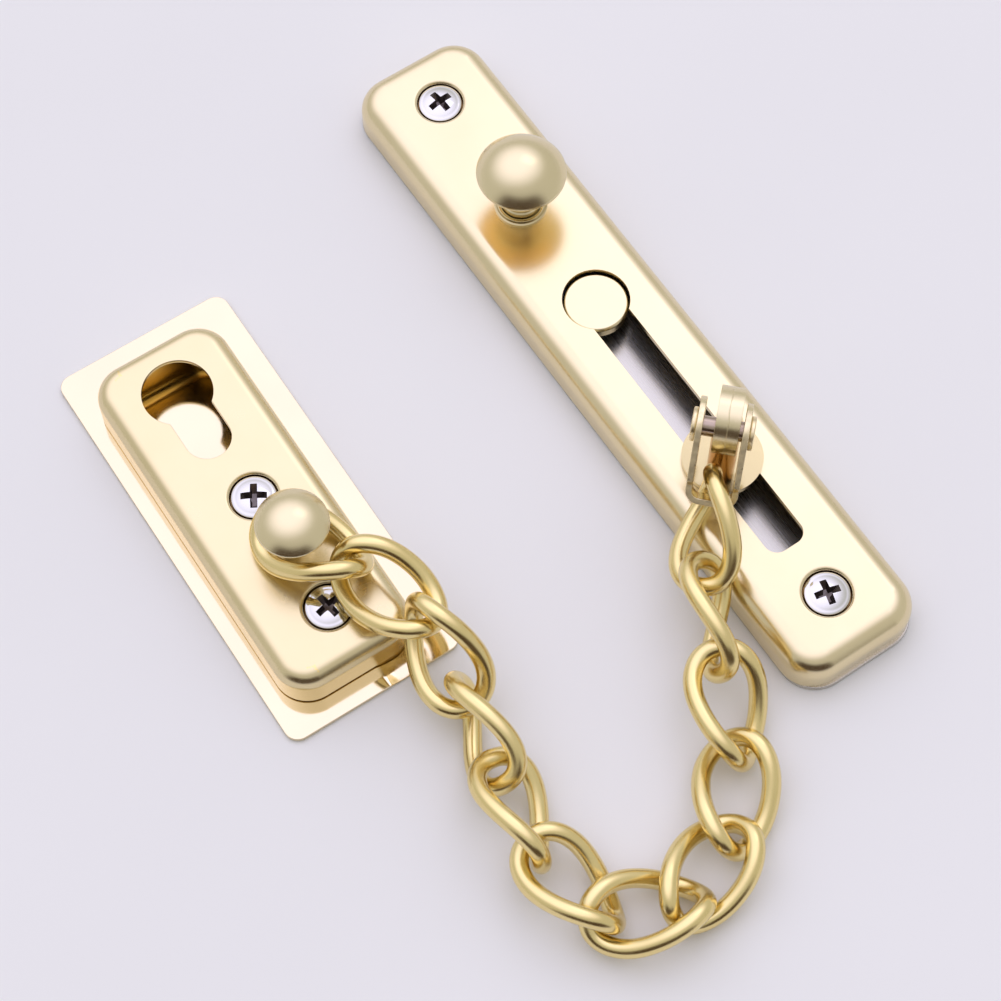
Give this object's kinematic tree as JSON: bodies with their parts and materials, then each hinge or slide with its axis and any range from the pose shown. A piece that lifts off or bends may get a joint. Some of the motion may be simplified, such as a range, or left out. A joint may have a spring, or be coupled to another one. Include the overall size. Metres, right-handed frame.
{
  "type": "door chain guard",
  "caption": "Door chain guard: a slotted slide track with a press knob, a stud with a hinged shackle, a twisted-link chain and an anchor with a keyhole and a post.",
  "frame": {"origin": "centre of the track's back face, on the face of the door", "axes": "+X along the track from the knob end to the slider end, +Z out of the door; the chain and the anchor lie on the -Y side"},
  "size_m": [0.1636, 0.0997, 0.0281],
  "materials": {
    "satin_gold": "satin plated",
    "polished_gold": "polished plated",
    "brushed_steel": "brushed",
    "spring_steel": "plain",
    "screw_nickel": "bright nickel"
  },
  "bodies": {
    "track": {"track_cover": "satin_gold", "track_backplate": "brushed_steel", "knob_collar": "satin_gold", "pivot_bracket": "spring_steel", "pivot_pin": "spring_steel", "track_screws": "screw_nickel", "knob_spring": "spring_steel"},
    "knob": {"press_knob": "satin_gold", "knob_clip": "spring_steel"},
    "lever": {"release_lever": "spring_steel", "blocker_disc": "satin_gold", "disc_rivet": "spring_steel"},
    "slider": {"slider_foot": "satin_gold"},
    "stud": {"slider_stud": "satin_gold"},
    "shackle": {"shackle": "satin_gold", "shackle_rivet": "satin_gold"},
    "link_12": {"link_12": "satin_gold"},
    "link_11": {"link_11": "satin_gold"},
    "link_10": {"link_10": "satin_gold"},
    "link_09": {"link_09": "satin_gold"},
    "link_08": {"link_08": "satin_gold"},
    "link_07": {"link_07": "satin_gold"},
    "link_06": {"link_06": "satin_gold"},
    "link_05": {"link_05": "satin_gold"},
    "link_04": {"link_04": "satin_gold"},
    "link_03": {"link_03": "satin_gold"},
    "link_02": {"link_02": "satin_gold"},
    "link_01": {"link_01": "satin_gold"},
    "anchor": {"anchor_plate": "polished_gold", "anchor_cover": "satin_gold", "anchor_post": "satin_gold", "post_washer": "spring_steel", "anchor_screws": "screw_nickel"}
  },
  "joints": [
    {"name": "knob_press", "type": "slide", "parent": "track", "child": "knob", "axis": [0, 0, -1], "range_m": [0, 0.00106], "stiffness_N_per_m": 600, "springref_m": -0.002, "deforming": ["knob_spring"]},
    {"name": "lever_turn", "type": "hinge", "parent": "track", "child": "lever", "pos_m": [-0.05, 0, 0.0042], "axis": [0, 1, 0], "range_deg": [0, 3.6]},
    {"name": "slider_slide", "type": "slide", "parent": "track", "child": "slider", "axis": [1, 0, 0], "range_m": [-0.0255, 0.0158]},
    {"name": "stud_swivel", "type": "hinge", "parent": "slider", "child": "stud", "pos_m": [0.0287, 0, 0.0067], "axis": [0, 0, 1], "range_deg": [-20, 1.5]},
    {"name": "shackle_hinge", "type": "hinge", "parent": "stud", "child": "shackle", "pos_m": [0.0299, -0.0012, 0.0224], "axis": [-0.7071, -0.7071, 0], "range_deg": [0, 60]},
    {"name": "link_12_yaw", "type": "hinge", "parent": "shackle", "child": "link_12", "pos_m": [0.035, -0.0075, 0.0155], "axis": [0, 0, 1], "range_deg": [-8, 0]},
    {"name": "link_11_yaw", "type": "hinge", "parent": "link_12", "child": "link_11", "pos_m": [0.045, -0.016, 0.012], "axis": [0, 0, -1], "range_deg": [-6, 8]},
    {"name": "link_10_yaw", "type": "hinge", "parent": "link_11", "child": "link_10", "pos_m": [0.059, -0.0225, 0.009], "axis": [0, 0, 1], "range_deg": [-10, 10]},
    {"name": "link_09_yaw", "type": "hinge", "parent": "link_10", "child": "link_09", "pos_m": [0.0715, -0.0275, 0.005], "axis": [0, 0, -1], "range_deg": [-10, 10]},
    {"name": "link_08_yaw", "type": "hinge", "parent": "link_09", "child": "link_08", "pos_m": [0.0835, -0.0375, 0.0045], "axis": [0, 0, 1], "range_deg": [-6, 10]},
    {"name": "link_07_yaw", "type": "hinge", "parent": "link_08", "child": "link_07", "pos_m": [0.088, -0.05, 0.005], "axis": [0, 0, -1], "range_deg": [-10, 4]},
    {"name": "link_06_yaw", "type": "hinge", "parent": "link_07", "child": "link_06", "pos_m": [0.083, -0.0615, 0.005], "axis": [0, 0, 1], "range_deg": [-6, 10]},
    {"name": "link_05_yaw", "type": "hinge", "parent": "link_06", "child": "link_05", "pos_m": [0.0675, -0.065, 0.007], "axis": [0, 0, -1], "range_deg": [-10, 4]},
    {"name": "link_04_yaw", "type": "hinge", "parent": "link_05", "child": "link_04", "pos_m": [0.054, -0.0625, 0.007], "axis": [0, 0, 1], "range_deg": [-8, 8]},
    {"name": "link_03_yaw", "type": "hinge", "parent": "link_04", "child": "link_03", "pos_m": [0.039, -0.06, 0.0075], "axis": [0, 0, -1], "range_deg": [-8, 8]},
    {"name": "link_02_yaw", "type": "hinge", "parent": "link_03", "child": "link_02", "pos_m": [0.0265, -0.059, 0.013], "axis": [0, 0, 1], "range_deg": [-6, 6]},
    {"name": "link_01_yaw", "type": "hinge", "parent": "link_02", "child": "link_01", "pos_m": [0.012, -0.064, 0.014], "axis": [0, 0, -1], "range_deg": [-4, 6]},
    {"name": "anchor_swivel", "type": "hinge", "parent": "link_01", "child": "anchor", "pos_m": [0.00281, -0.06919, 0.0137], "axis": [0, 0, 1], "range_deg": [-5, 15]}
  ],
  "couplings": [
    {"joint": "lever_turn", "follows": "knob_press", "rad_per_m": 56.5}
  ]
}
